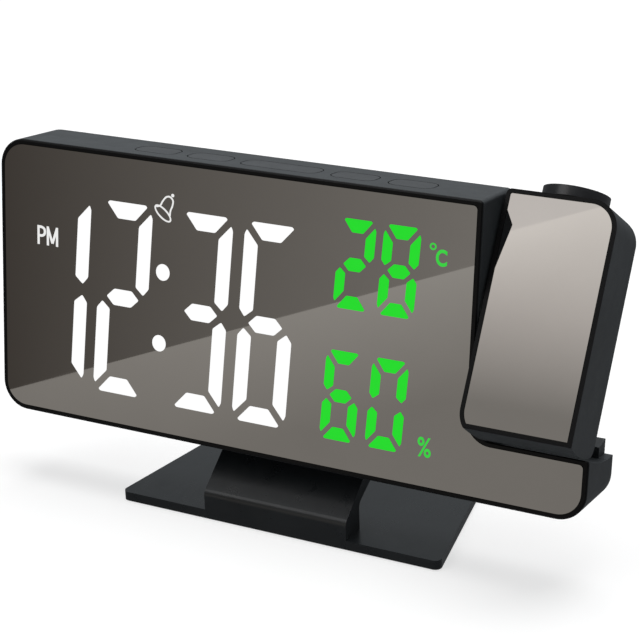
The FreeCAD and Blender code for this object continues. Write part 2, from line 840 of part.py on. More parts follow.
head_cover_inner = body_depth - head_wall
head_inner_from = ledge_depth + head_wall
head_inside = head_block(head_wall, head_inner_from, head_cover_inner)
head_window = plate_front(head_outline(head_window_inset), -past, head_inner_from + past)
head_mirror_room = plate_front(head_outline(head_rim), -past, front_stack)
mirror_low = block(head_left, head_right, -2 * past, body_depth, 0, head_bottom + head_rim)
ring_hole_radius = ring_neck_radius + running_gap * 2
ring_hole = along_z(ring_hole_radius, body_height - head_wall - past, body_height + past)
head_screws_at = [
    (head_left + head_wall + boss_radius + head_boss_gap, hinge_height + half_head / 2),
    (head_right - head_wall - boss_radius - head_boss_gap, hinge_height - half_head / 2),
]
head_case = head_block(0, 0, head_parting)
head_rear_cover = head_block(0, head_parting, body_depth)
head_case = head_case.cut(head_inside)
head_rear_cover = head_rear_cover.cut(head_inside)
head_case = head_case.cut(head_window.cut(mirror_low))
head_case = head_case.cut(head_mirror_room.cut(mirror_low))
head_case = head_case.cut(ring_hole)
head_rear_cover = head_rear_cover.cut(ring_hole)
for x, z in head_screws_at:
    head_case = head_case.fuse(along_y(boss_radius, x, z, head_inner_from - fit_gap, head_parting))
    head_rear_cover = head_rear_cover.fuse(along_y(boss_radius, x, z, head_parting,
        head_cover_inner + root))
for x, z in head_screws_at:
    head_case = head_case.cut(along_y(screw_radius + pilot_gap, x, z, head_parting - screw_length,
        body_depth))
    head_rear_cover = head_rear_cover.cut(along_y(screw_radius + fit_gap, x, z, head_parting - past,
        body_depth + past))
    head_rear_cover = head_rear_cover.cut(along_y(screw_head_radius + fit_gap, x, z, screw_seat,
        body_depth + past))
head_case = head_case.cut(along_x(axle_radius + running_gap, head_left - past,
    head_left + head_wall + past))
save_head("head_case", head_case.removeSplitter())
save_head("head_rear_cover", head_rear_cover.removeSplitter())
head_mirror = plate_front(head_outline(head_rim + seat_gap), 0, mirror_thickness).cut(mirror_low)
save_head("head_mirror", head_mirror)
save_head(
    "head_screws",
    Part.makeCompound([screw(x, z, screw_seat, screw_length) for x, z in head_screws_at]),
)


# Focus ring, lens barrel and the optics below them
ring_bottom = body_height + fit_gap
neck_bottom = body_height - head_wall - fit_gap - ring_hook_height
ring_bore = barrel_radius + running_gap
focus_ring = along_z(ring_radius, ring_bottom, ring_bottom + ring_height)
focus_ring = focus_ring.fuse(along_z(ring_neck_radius, neck_bottom, ring_bottom + ring_overlap))
focus_ring = focus_ring.fuse(along_z(ring_neck_radius + ring_hook, neck_bottom,
    neck_bottom + ring_hook_height))
focus_ring = focus_ring.cut(along_z(ring_bore, neck_bottom - past, ring_bottom + ring_height + past))
save_head("focus_ring", focus_ring.removeSplitter())
barrel_top = ring_bottom + ring_height - barrel_sink
barrel_bottom = barrel_top - barrel_length
lens_radius = barrel_bore + lens_seat
lens_barrel = along_z(barrel_radius, barrel_bottom, barrel_top)
lens_barrel = lens_barrel.cut(along_z(barrel_bore, barrel_bottom - past, barrel_top + past))
lens_room = along_z(lens_radius, barrel_top - lens_edge - lens_rise * 2 - lens_clearance, barrel_top + past)
save_head("lens_barrel", lens_barrel.cut(lens_room))


def lens(radius, rise, edge, low):
    # A rim of the given edge height between two equal bulging faces.
    bend = (radius * radius + rise * rise) / (2 * rise)
    rim_bar = along_z(radius, low - rise, low + edge + rise)
    upper = Part.makeSphere(bend, V(optic_x, hinge_depth, low + edge + rise - bend))
    lower = Part.makeSphere(bend, V(optic_x, hinge_depth, low - rise + bend))
    return rim_bar.common(upper).common(lower)


save_head("projection_lens", lens(lens_radius - running_gap, lens_rise, lens_edge,
                                  barrel_top - lens_edge - lens_rise - lens_sink))

tube_top = neck_bottom - fit_gap - lens_clearance
tube_bottom = tube_top - tube_length
optics_tube = along_z(tube_radius, tube_bottom, tube_top)
optics_tube = optics_tube.cut(along_z(tube_bore, tube_bottom - past, tube_top + past))
slide_from = (barrel_bottom + tube_bottom) / 2
ledge_ring = along_z(tube_bore + ledge_root, slide_from - slide_ledge, slide_from)
ledge_ring = ledge_ring.cut(along_z(tube_bore - ledge_width, slide_from - slide_ledge - past,
    slide_from + past))
optics_tube = optics_tube.fuse(ledge_ring)
save_head("optics_tube", optics_tube.removeSplitter())
save_head("lcd_slide", along_z(tube_bore - running_gap, slide_from, slide_from + slide_thickness))
condenser_low = slide_from - slide_ledge - condenser_rise / 3 - lens_edge - seat_gap
save_head("condenser_lens", lens(tube_bore - running_gap, condenser_rise, lens_edge, condenser_low))
half_board = board_size / 2
projector_board = block(optic_x - half_board, optic_x + half_board, hinge_depth - tube_radius,
    hinge_depth + tube_radius,
                        tube_bottom - board_thickness, tube_bottom)
save_head("projector_board", projector_board)
half_led = led_size / 2
projector_led = block(optic_x - half_led, optic_x + half_led, hinge_depth - half_led,
    hinge_depth + half_led,
                      tube_bottom, tube_bottom + led_size / 2)
save_head("projector_led", projector_led)
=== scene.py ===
import bpy
import bmesh
import json
import math
from mathutils import Matrix, Vector


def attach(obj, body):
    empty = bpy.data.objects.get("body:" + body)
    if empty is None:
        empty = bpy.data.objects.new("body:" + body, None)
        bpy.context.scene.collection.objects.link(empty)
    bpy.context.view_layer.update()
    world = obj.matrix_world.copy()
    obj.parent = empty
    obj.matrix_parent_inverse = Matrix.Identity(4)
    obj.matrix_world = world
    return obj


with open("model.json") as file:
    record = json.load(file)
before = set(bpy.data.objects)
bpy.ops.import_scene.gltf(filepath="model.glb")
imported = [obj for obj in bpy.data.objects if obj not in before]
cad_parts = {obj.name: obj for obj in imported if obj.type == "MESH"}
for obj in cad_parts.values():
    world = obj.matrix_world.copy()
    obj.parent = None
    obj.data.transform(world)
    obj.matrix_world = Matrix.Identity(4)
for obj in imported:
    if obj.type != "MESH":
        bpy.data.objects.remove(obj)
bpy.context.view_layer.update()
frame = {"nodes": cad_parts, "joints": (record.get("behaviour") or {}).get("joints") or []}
nodes = frame["nodes"]
joints = {joint["name"]: joint for joint in frame["joints"]}
scene = bpy.context.scene
mm = 0.001
print("frame loaded")


# Axes of the leaning body and of the tilted head, read from the joints
def depthAxis(up):
    return Vector((0, up.z, -up.y))


bodyUp = -Vector(joints["mode_key_press"]["axis"])
bodyDeep = depthAxis(bodyUp)
headUp = Vector(joints["focus_turn"]["axis"])
headDeep = depthAxis(headUp)
across = Vector((1, 0, 0))


def span(nodeName, direction):
    # Lowest and highest reach of a node along a direction.
    reach = [vertex.co.dot(direction) for vertex in nodes[nodeName].data.vertices]
    return min(reach), max(reach)


class Face:
    # A flat face with millimetre places: right along the width, up along the face, proud out of it.
    def __init__(self, nodeName, up, deep, left, low):
        self.up = up
        self.deep = deep
        self.front = span(nodeName, deep)[0]
        self.left = left
        self.low = low

    def at(self, right, high, proud=0.0):
        place = across * (self.left + right * mm)
        place = place + self.up * (self.low + high * mm)
        return place + self.deep * (self.front - proud * mm)


# The head's face counts its heights so that the head's top comes at headTopHigh.
headTopHigh = 84.3
bodyFace = Face("front_mirror", bodyUp, bodyDeep,
                span("front_case", across)[0], span("front_case", bodyUp)[0])
headFace = Face("head_mirror", headUp, headDeep,
                bodyFace.left, span("head_case", headUp)[1] - headTopHigh * mm)


# Camera, as fitted to the edges of the clock in the photograph
camera = {
    "place": (0.2470, -0.4596, 0.2733),
    "azimuth": 28.07,
    "elevation": 22.51,
    "roll": -1.87,
    "focalPixels": 1920.8,
    "pictureWidth": 640,
    "sensor": 36.0,
    "clipStart": 0.01,
}


def makeCamera(spec):
    turn = math.radians(spec["azimuth"])
    tip = math.radians(spec["elevation"])
    roll = math.radians(spec["roll"])
    ahead = Vector((-math.sin(turn) * math.cos(tip), math.cos(turn) * math.cos(tip), -math.sin(tip)))
    levelRight = Vector((math.cos(turn), math.sin(turn), 0))
    levelUp = levelRight.cross(ahead)
    right = levelRight * math.cos(roll) + levelUp * math.sin(roll)
    up = levelUp * math.cos(roll) - levelRight * math.sin(roll)
    data = bpy.data.cameras.new("clockCamera")
    data.sensor_width = spec["sensor"]
    data.lens = spec["focalPixels"] / spec["pictureWidth"] * spec["sensor"]
    data.clip_start = spec["clipStart"]
    holder = bpy.data.objects.new("clockCamera", data)
    scene.collection.objects.link(holder)
    turned = Matrix((right, up, -ahead)).transposed().to_4x4()
    holder.matrix_world = Matrix.Translation(spec["place"]) @ turned
    scene.camera = holder


makeCamera(camera)
camPlace = Vector(camera["place"])
print("camera set")


# Shader helpers
def newMaterial(name):
    material = bpy.data.materials.new(name)
    material.use_nodes = True
    tree = material.node_tree
    tree.nodes.clear()
    output = tree.nodes.new("ShaderNodeOutputMaterial")
    shader = tree.nodes.new("ShaderNodeBsdfPrincipled")
    tree.links.new(shader.outputs["BSDF"], output.inputs["Surface"])
    return material, tree, shader


def groupSocket(group, name, way, kind, value=None):
    socket = group.interface.new_socket(name=name, in_out=way, socket_type=kind)
    if value is not None:
        socket.default_value = value


def feed(tree, target, value):
    # Links the target to a socket, or gives it a plain value.
    if isinstance(value, bpy.types.NodeSocket):
        tree.links.new(value, target)
    else:
        target.default_value = value


def mixed(tree, factor, first, second, blend="MIX"):
    mixer = tree.nodes.new("ShaderNodeMix")
    mixer.data_type = "RGBA"
    mixer.blend_type = blend
    for name, value in (("Factor", factor), ("A", first), ("B", second)):
        feed(tree, mixer.inputs[name], value)
    return mixer.outputs["Result"]


def calculated(tree, operation, first, second, clamp=False):
    made = tree.nodes.new("ShaderNodeMath")
    made.operation = operation
    made.use_clamp = clamp
    tree.links.new(first, made.inputs[0])
    tree.links.new(second, made.inputs[1])
    return made.outputs[0]


def ranged(tree, value, fromLow, fromHigh, toLow, toHigh):
    made = tree.nodes.new("ShaderNodeMapRange")
    made.inputs["From Min"].default_value = fromLow
    made.inputs["From Max"].default_value = fromHigh
    made.inputs["To Min"].default_value = toLow
    made.inputs["To Max"].default_value = toHigh
    tree.links.new(value, made.inputs["Value"])
    return made.outputs["Result"]


def objectSpot(tree):
    return tree.nodes.new("ShaderNodeTexCoord").outputs["Object"]


def noise(tree, spot, scale, detail=3.0, rough=0.5):
    made = tree.nodes.new("ShaderNodeTexNoise")
    feed(tree, made.inputs["Scale"], scale)
    made.inputs["Detail"].default_value = detail
    made.inputs["Roughness"].default_value = rough
    tree.links.new(spot, made.inputs["Vector"])
    return made.outputs["Fac"]


def addRelief(tree, shader, height, strength, distance):
    relief = tree.nodes.new("ShaderNodeBump")
    relief.inputs["Strength"].default_value = strength
    relief.inputs["Distance"].default_value = distance
    tree.links.new(height, relief.inputs["Height"])
    tree.links.new(relief.outputs["Normal"], shader.inputs["Normal"])


def solid(tone, share=1.0):
    # A full colour from a tone, brightened or darkened by a share.
    return (*[value * share for value in tone], 1)


# In these looks a noise is (scale, detail, roughness) and a range is (from low, from high, to low, to high).
mouldLook = {
    "tone": (0.03, 0.03, 0.03), "rough": 0.45, "grainScale": 2600.0, "grainDetail": 2.0, "wear": 0.3,
    "drift": (28.0, 4.0, 0.6), "driftTone": (0.35, 0.65, 0.82, 1.18),
    "smudge": (140.0, 5.0, 0.65), "smudgeRough": (0.3, 0.7, -0.05, 0.06),
    "edge": (0.505, 0.56, 0.0, 1.0), "rubbedTone": (0.09, 0.093, 0.097),
    "reliefDepth": 0.0001, "coatRough": 0.15,
}


def buildMouldedFinish(look):
    # Moulded plastic: a fine spark texture, slow tone drift, smudges in the roughness, and edges
    # rubbed lighter.
    group = bpy.data.node_groups.new("mouldedFinish", "ShaderNodeTree")
    groupSocket(group, "Tone", "INPUT", "NodeSocketColor", solid(look["tone"]))
    groupSocket(group, "Rough", "INPUT", "NodeSocketFloat", look["rough"])
    groupSocket(group, "Grain Scale", "INPUT", "NodeSocketFloat", look["grainScale"])
    groupSocket(group, "Wear", "INPUT", "NodeSocketFloat", look["wear"])
    groupSocket(group, "Color", "OUTPUT", "NodeSocketColor")
    groupSocket(group, "Roughness", "OUTPUT", "NodeSocketFloat")
    groupSocket(group, "Height", "OUTPUT", "NodeSocketFloat")
    given = group.nodes.new("NodeGroupInput").outputs
    result = group.nodes.new("NodeGroupOutput").inputs
    spot = objectSpot(group)
    grain = noise(group, spot, given["Grain Scale"], look["grainDetail"])
    drift = noise(group, spot, *look["drift"])
    smudge = noise(group, spot, *look["smudge"])
    pointed = group.nodes.new("ShaderNodeNewGeometry").outputs["Pointiness"]
    edge = ranged(group, pointed, *look["edge"])
    worn = calculated(group, "MULTIPLY", edge, given["Wear"])
    patchy = calculated(group, "MULTIPLY", worn, smudge)
    drifted = mixed(group, 1.0, given["Tone"], ranged(group, drift, *look["driftTone"]), "MULTIPLY")
    rubbed = mixed(group, patchy, drifted, solid(look["rubbedTone"]))
    smeared = ranged(group, smudge, *look["smudgeRough"])
    group.links.new(rubbed, result["Color"])
    group.links.new(calculated(group, "ADD", given["Rough"], smeared, True), result["Roughness"])
    group.links.new(grain, result["Height"])
    return group


mouldedFinish = buildMouldedFinish(mouldLook)


def mouldedPlastic(name, tone, rough, grainScale=2600.0, bump=0.12, wear=0.3, specular=0.5, coat=0.0):
    material, tree, shader = newMaterial(name)
    finish = tree.nodes.new("ShaderNodeGroup")
    finish.node_tree = mouldedFinish
    finish.inputs["Tone"].default_value = solid(tone)
    finish.inputs["Rough"].default_value = rough
    finish.inputs["Grain Scale"].default_value = grainScale
    finish.inputs["Wear"].default_value = wear
    tree.links.new(finish.outputs["Color"], shader.inputs["Base Color"])
    tree.links.new(finish.outputs["Roughness"], shader.inputs["Roughness"])
    addRelief(tree, shader, finish.outputs["Height"], bump, mouldLook["reliefDepth"])
    shader.inputs["Specular IOR Level"].default_value = specular
    shader.inputs["Coat Weight"].default_value = coat
    shader.inputs["Coat Roughness"].default_value = mouldLook["coatRough"]
    return material


bezelLook = {"full": 0.3, "gone": 0.6, "tone": (0.003, 0.003, 0.0032), "specular": 0.12}


def darkBezel(material, face):
    # The moulding's front edge around the mirror is made near-black and less shiny, down to a small depth
    # behind the mirror.
    tree = material.node_tree
    shader = next(node for node in tree.nodes if node.type == "BSDF_PRINCIPLED")
    along = tree.nodes.new("ShaderNodeVectorMath")
    along.operation = "DOT_PRODUCT"
    along.inputs[1].default_value = face.deep
    tree.links.new(objectSpot(tree), along.inputs[0])
    full = face.front + bezelLook["full"] * mm
    gone = face.front + bezelLook["gone"] * mm
    mask = ranged(tree, along.outputs["Value"], full, gone, 1.0, 0.0)
    plain = shader.inputs["Base Color"].links[0].from_socket
    tree.links.new(mixed(tree, mask, plain, solid(bezelLook["tone"])), shader.inputs["Base Color"])
    shine = shader.inputs["Specular IOR Level"]
    tree.links.new(ranged(tree, mask, 0.0, 1.0, shine.default_value, bezelLook["specular"]), shine)
    return material


mirrorLook = {
    "tone": (0.25, 0.25, 0.25), "brighter": 1.06,
    "smudge": (60.0, 5.0, 0.6), "haze": (0.45, 0.8, 0.015, 0.03),
    "ripple": (9.0, 1.0), "bump": 0.02, "reliefDepth": 0.0001,
}


def mirrorCoat(name):
    # Half-silvered acrylic: reflects dimly, with faint handling haze in the roughness.
    material, tree, shader = newMaterial(name)
    spot = objectSpot(tree)
    smudge = noise(tree, spot, *mirrorLook["smudge"])
    tree.links.new(ranged(tree, smudge, *mirrorLook["haze"]), shader.inputs["Roughness"])
    tint = mixed(tree, smudge, solid(mirrorLook["tone"]), solid(mirrorLook["tone"], mirrorLook["brighter"]))
    tree.links.new(tint, shader.inputs["Base Color"])
    ripple = noise(tree, spot, *mirrorLook["ripple"])
    addRelief(tree, shader, ripple, mirrorLook["bump"], mirrorLook["reliefDepth"])
    shader.inputs["Metallic"].default_value = 1.0
    return material


glowLook = {"cloud": (160.0, 2.0), "strength": 1.0, "base": (0.02, 0.02, 0.02), "rough": 0.4, "specular": 0.1}


def glowing(name, tone, uneven):
    # Lit segments: nearly even light from the diffuser behind them.
    material, tree, shader = newMaterial(name)
    cloud = noise(tree, objectSpot(tree), *glowLook["cloud"])
    tint = mixed(tree, cloud, solid(tone, 1 - uneven), solid(tone))
    tree.links.new(tint, shader.inputs["Emission Color"])
    shader.inputs["Emission Strength"].default_value = glowLook["strength"]
    shader.inputs["Base Color"].default_value = solid(glowLook["base"])
    shader.inputs["Roughness"].default_value = glowLook["rough"]
    shader.inputs["Specular IOR Level"].default_value = glowLook["specular"]
    return material


metalLook = {
    "stretch": (0.08, 1.0, 1.0), "lines": (900.0, 3.0), "contrast": (0.3, 0.7),
    "smoother": 0.8, "rougher": 1.25, "darker": 0.88, "bump": 0.06, "reliefDepth": 0.00005,
}


def metal(name, tone, rough):
    # Metal with fine lines along its width.
    material, tree, shader = newMaterial(name)
    stretch = tree.nodes.new("ShaderNodeMapping")
    stretch.inputs["Scale"].default_value = metalLook["stretch"]
    tree.links.new(objectSpot(tree), stretch.inputs["Vector"])
    lines = noise(tree, stretch.outputs["Vector"], *metalLook["lines"])
    dull = ranged(tree, lines, *metalLook["contrast"],
                  rough * metalLook["smoother"], rough * metalLook["rougher"])
    tree.links.new(dull, shader.inputs["Roughness"])
    tint = mixed(tree, lines, solid(tone, metalLook["darker"]), solid(tone))
    tree.links.new(tint, shader.inputs["Base Color"])
    addRelief(tree, shader, lines, metalLook["bump"], metalLook["reliefDepth"])
    shader.inputs["Metallic"].default_value = 1.0
    return material


lensLook = {"dust": (700.0, 4.0), "dull": (0.5, 0.8, 0.02, 0.12), "index": 1.49}


def clearLens(name, tone):
    # Clear acrylic with a little dust in the roughness.
    material, tree, shader = newMaterial(name)
    dust = noise(tree, objectSpot(tree), *lensLook["dust"])
    tree.links.new(ranged(tree, dust, *lensLook["dull"]), shader.inputs["Roughness"])
    shader.inputs["Base Color"].default_value = solid(tone)
    shader.inputs["Transmission Weight"].default_value = 1.0
    shader.inputs["IOR"].default_value = lensLook["index"]
    return material


caseLook = {"tone": (0.0185, 0.0218, 0.0240), "rough": 0.46, "wear": 0.12, "specular": 0.35}
finishes = {
    "case": mouldedPlastic("casePlastic", **caseLook),
    "bodyCase": darkBezel(mouldedPlastic("bodyCasePlastic", **caseLook), bodyFace),
    "headCase": darkBezel(mouldedPlastic("headCasePlastic", **caseLook), headFace),
    "stand": mouldedPlastic("standPlastic", (0.0062, 0.0077, 0.0090), 0.3, grainScale=1800.0, bump=0.05,
                            wear=0.05, specular=0.3, coat=0.08),
    "key": mouldedPlastic("keyPlastic", (0.016, 0.018, 0.020), 0.4, grainScale=3000.0, bump=0.08,
                          wear=0.2, specular=0.35),
    "ring": mouldedPlastic("ringPlastic", (0.006, 0.006, 0.007), 0.3, grainScale=3000.0, bump=0.05,
                           wear=0.3, specular=0.4),
    "inner": mouldedPlastic("innerPlastic", (0.01, 0.01, 0.01), 0.6),
    "pad": mouldedPlastic("padRubber", (0.009, 0.009, 0.0095), 0.8, grainScale=1500.0, bump=0.35,
                          wear=0.1, specular=0.3),
    "white": mouldedPlastic("whitePlastic", (0.75, 0.75, 0.72), 0.5, grainScale=1800.0, bump=0.1, wear=0.0),
    "board": mouldedPlastic("boardMask", (0.01, 0.09, 0.035), 0.3, grainScale=900.0, bump=0.2, wear=0.0),
    "mirror": mirrorCoat("displayMirror"),
    "headMirror": mirrorCoat("headMirrorCoat"),
    "steel": metal("screwSteel", (0.5, 0.5, 0.51), 0.35),
    "tin": metal("socketTin", (0.62, 0.62, 0.62), 0.25),
    "lens": clearLens("lensGlass", (0.95, 0.97, 1.0)),
    "amber": mouldedPlastic("ledResin", (0.75, 0.55, 0.12), 0.3, grainScale=900.0, bump=0.05, wear=0.0),
    "timeGlow": glowing("timeGlow", (1.0, 1.0, 1.0), 0.02),
    "greenGlow": glowing("greenGlow", (0.004, 0.71, 0.012), 0.06),
    "markGlow": glowing("markGlow", (0.85, 0.85, 0.84), 0.05),
    "unitGlow": glowing("unitGlow", (0.03, 0.66, 0.045), 0.1),
}

nodeFinish = {
    "case": ("rear_cover", "head_rear_cover", "battery_door"),
    "bodyCase": ("front_case",),
    "headCase": ("head_case",),
    "stand": ("stand",),
    "key": ("mode_key", "down_key", "snooze_key", "up_key", "projection_key"),
    "ring": ("focus_ring", "lens_barrel"),
    "inner": ("battery_holder", "dc_inlet", "speaker", "optics_tube", "projector_cable", "tact_switches"),
    "pad": ("anti_slip_pad",),
    "white": ("diffuser_film", "segment_reflector", "room_sensor", "hinge_bush", "cable_header"),
    "board": ("main_board", "key_board", "projector_board"),
    "mirror": ("front_mirror",),
    "headMirror": ("head_mirror",),
    "steel": ("stand_screws", "case_screws", "head_screws", "hinge_axle", "hinge_clip", "hinge_washer",
              "battery_contact"),
    "tin": ("usb_socket", "coin_cell"),
    "lens": ("projection_lens", "condenser_lens", "lcd_slide"),
    "amber": ("projector_led",),
}
for finishName, members in nodeFinish.items():
    for member in members:
        mesh = nodes[member].data
        mesh.materials.clear()
        mesh.materials.append(finishes[finishName])
print("materials on the nodes")


# Flat glowing shapes on the mirror face
def roundedCorners(points, radius, steps=3, mostOfSide=0.45):
    # Each corner becomes a curve that takes up no more than mostOfSide of the sides beside it.
    smooth = []
    count = len(points)
    for i in range(count):
        here = Vector(points[i])
        before = Vector(points[i - 1]) - here
        after = Vector(points[(i + 1) % count]) - here
        reach = min(radius, before.length * mostOfSide, after.length * mostOfSide)
        start = here + before.normalized() * reach
        end = here + after.normalized() * reach
        for step in range(steps + 1):
            t = step / steps
            smooth.append(start * (1 - t) ** 2 + here * 2 * t * (1 - t) + end * t ** 2)
    return smooth


def addPlate(build, face, points, proud, thick):
    # A closed flat plate whose outline is given in face millimetres.
    top = [build.verts.new(face.at(p[0], p[1], proud)) for p in points]
    base = [build.verts.new(face.at(p[0], p[1], proud - thick)) for p in points]
    build.faces.new(top)
    build.faces.new(list(reversed(base)))
    count = len(points)
    for i in range(count):
        following = (i + 1) % count
        build.faces.new((top[following], top[i], base[i], base[following]))


def addRing(build, face, outer, inner, proud, thick):
    # A closed flat ring between two outlines with equal counts of points.
    count = len(outer)
    levels = []
    for points, level in ((outer, proud), (inner, proud), (inner, proud - thick), (outer, proud - thick)):
        levels.append([build.verts.new(face.at(p[0], p[1], level)) for p in points])
    for i in range(count):
        following = (i + 1) % count
        for j, this in enumerate(levels):
            other = levels[(j + 1) % len(levels)]
            build.faces.new((this[i], this[following], other[following], other[i]))


def finishPiece(name, build, finish, body):
    bmesh.ops.recalc_face_normals(build, faces=build.faces)
    mesh = bpy.data.meshes.new(name)
    build.to_mesh(mesh)
    build.free()
    mesh.materials.append(finishes[finish])
    piece = bpy.data.objects.new(name, mesh)
    scene.collection.objects.link(piece)
    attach(piece, body)


# Places on a segment: names with In, and the shoulder, are shares of the bar's width, and names with Down are
# shares of its depth. The slit between two segments is a share of the gap.
segmentShape = {
    "tipIn": 0.44, "tipDown": 0.12, "flatIn": 0.58, "pointIn": 0.72,
    "sideDown": 0.75, "bendIn": 0.14, "bendDown": 0.48, "footIn": 0.4, "shoulder": 0.5, "slit": 1.3,
}


def segmentOutlines(size):
    # The seven segments of one digit, upright, from its lower left corner.
    wide, high = size["wide"], size["high"]
    bar, deep, gap = size["bar"], size["deep"], size["gap"]
    half = high / 2 + size["lift"]
    keep = bar + gap
    slit = segmentShape["slit"] * gap
    shoulder = segmentShape["shoulder"] * bar
    tip, flat, point = [bar * segmentShape[name] for name in ("tipIn", "flatIn", "pointIn")]
    tipHigh, sideHigh, bendHigh = [high - segmentShape[name] * deep
                                   for name in ("tipDown", "sideDown", "bendDown")]
    top = [(tip, tipHigh), (flat, high), (wide - flat, high),
           (wide - tip, tipHigh), (wide - keep, high - deep), (keep, high - deep)]
    middle = [(point, half), (keep, half + deep / 2), (wide - keep, half + deep / 2),
              (wide - point, half), (wide - keep, half - deep / 2), (keep, half - deep / 2)]

    def upright(level):
        return [(0, sideHigh), (bar * segmentShape["bendIn"], bendHigh), (bar, high - deep - slit),
                (bar, level + slit + shoulder), (bar * segmentShape["footIn"], level + slit),
                (0, level + slit + shoulder)]

    def flip(points):
        return [(x, high - y) for x, y in points]

    def mirror(points):
        return [(wide - x, y) for x, y in points]

    upperLeft = upright(half)
    lowerLeft = flip(upright(high - half))
    return {
        "top": top, "middle": middle, "bottom": flip(top),
        "upperLeft": upperLeft, "lowerLeft": lowerLeft,
        "upperRight": mirror(upperLeft), "lowerRight": mirror(lowerLeft),
    }


litSegments = {
    "0": ("top", "bottom", "upperLeft", "lowerLeft", "upperRight", "lowerRight"),
    "1": ("upperRight", "lowerRight"),
    "2": ("top", "middle", "bottom", "upperRight", "lowerLeft"),
    "3": ("top", "middle", "bottom", "upperRight", "lowerRight"),
    "6": ("top", "middle", "bottom", "upperLeft", "lowerLeft", "lowerRight"),
    "8": ("top", "middle", "bottom", "upperLeft", "lowerLeft", "upperRight", "lowerRight"),
}
bigDigit = {"wide": 17.5, "bar": 4.45, "deep": 5.0, "gap": 1.3, "slant": 0.057, "round": 0.45}
smallDigit = {"wide": 11.15, "bar": 2.95, "deep": 3.8, "gap": 0.95, "slant": 0.062, "round": 0.3, "lift": 0.0}
proudOfMirror = 0.06
plateThick = 0.05


def digitPiece(name, digit, size, left, low, finish):
    build = bmesh.new()
    outlines = segmentOutlines(size)
    for segment in litSegments[digit]:
        placed = [(left + x + y * size["slant"], low + y) for x, y in outlines[segment]]
        addPlate(build, bodyFace, roundedCorners(placed, size["round"]), proudOfMirror, plateThick)
    finishPiece(name, build, finish, "clock_body")


timeRow = {
    "digits": "1236", "top": 69.65,
    "lefts": (11.9, 33.05, 59.75, 81.05),
    "lows": (11.2, 10.9, 10.5, 10.2),
    "lifts": (0.95, 0.5, 0.2, 0.0),
}
for i, digit in enumerate(timeRow["digits"]):
    low = timeRow["lows"][i]
    size = {**bigDigit, "high": timeRow["top"] - low, "lift": timeRow["lifts"][i]}
    digitPiece(f"time_digit_{i + 1}", digit, size, timeRow["lefts"][i], low, "timeGlow")
climate = {
    "temperature": {"digits": "28", "low": 48.8, "high": 25.7, "lefts": (112.6, 126.0)},
    "humidity": {"digits": "60", "low": 10.0, "high": 26.5, "lefts": (109.7, 124.0)},
}
for row, spec in climate.items():
    for i, digit in enumerate(spec["digits"]):
        size = {**smallDigit, "high": spec["high"]}
        digitPiece(f"{row}_digit_{i + 1}", digit, size, spec["lefts"][i], spec["low"], "greenGlow")


def disc(middle, radius, count=40, squash=1.0):
    return [(middle[0] + radius * math.cos(2 * math.pi * i / count),
             middle[1] + radius * squash * math.sin(2 * math.pi * i / count)) for i in range(count)]


colon = {"dots": ((57.3, 50.6), (56.2, 29.0)), "radius": 2.3, "squash": 1.08}
build = bmesh.new()
for dot in colon["dots"]:
    addPlate(build, bodyFace, disc(dot, colon["radius"], squash=colon["squash"]), proudOfMirror, plateThick)
finishPiece("colon_dots", build, "timeGlow", "clock_body")


def smoothPath(points, steps=8):
    # A curve that passes through every point.
    path = []
    last = len(points) - 1
    for i in range(last):
        a = Vector(points[max(i - 1, 0)])
        b = Vector(points[i])
        c = Vector(points[i + 1])
        d = Vector(points[min(i + 2, last)])
        for step in range(steps):
            t = step / steps
            path.append(0.5 * (2 * b + (c - a) * t + (2 * a - 5 * b + 4 * c - d) * t ** 2
                               + (3 * b - a - 3 * c + d) * t ** 3))
    path.append(Vector(points[-1]))
    return path


def addStroke(build, path, width):
    # A plate of even width along a path of face millimetres.
    sides = ([], [])
    for i, point in enumerate(path):
        along = path[min(i + 1, len(path) - 1)] - path[max(i - 1, 0)]
        normal = Vector((-along.y, along.x)).normalized() * width / 2
        sides[0].append(point + normal)
        sides[1].append(point - normal)
    addPlate(build, bodyFace, sides[0] + list(reversed(sides[1])), proudOfMirror, plateThick)


def tiltedRing(middle, longRadius, shortRadius, turnDegrees, count=40):
    turn = math.radians(turnDegrees)
    points = []
    for i in range(count):
        angle = 2 * math.pi * i / count
        x = longRadius * math.cos(angle)
        y = shortRadius * math.sin(angle)
        points.append((middle[0] + x * math.cos(turn) - y * math.sin(turn),
                       middle[1] + x * math.sin(turn) + y * math.cos(turn)))
    return points


smallRoundCount = 24
bell = {
    "stroke": 0.5,
    "knob": (60.4, 73.75), "knobRadius": 0.5,
    "dome": ((54.9, 69.9), (56.2, 70.3), (57.0, 71.6), (58.2, 73.0), (59.5, 73.2), (60.5, 72.2), (60.3, 70.6),
             (59.7, 69.2), (59.5, 67.6)),
    "rimMiddle": (57.15, 68.1), "rimLong": 3.15, "rimShort": 1.3, "rimTurn": -38.0, "rimProud": 0.01,
}
build = bmesh.new()
addPlate(build, bodyFace, disc(bell["knob"], bell["knobRadius"], smallRoundCount), proudOfMirror, plateThick)
addStroke(build, smoothPath(bell["dome"]), bell["stroke"])
rims = [tiltedRing(bell["rimMiddle"], bell["rimLong"] + side, bell["rimShort"] + side, bell["rimTurn"])
        for side in (bell["stroke"] / 2, -bell["stroke"] / 2)]
addRing(build, bodyFace, *rims, proudOfMirror + bell["rimProud"], plateThick)
finishPiece("bell_mark", build, "markGlow", "clock_body")


def stretched(values, start, end):
    # The values moved so that they reach from start to end.
    lowest, highest = min(values), max(values)
    return [start + (value - lowest) / (highest - lowest) * (end - start) for value in values]


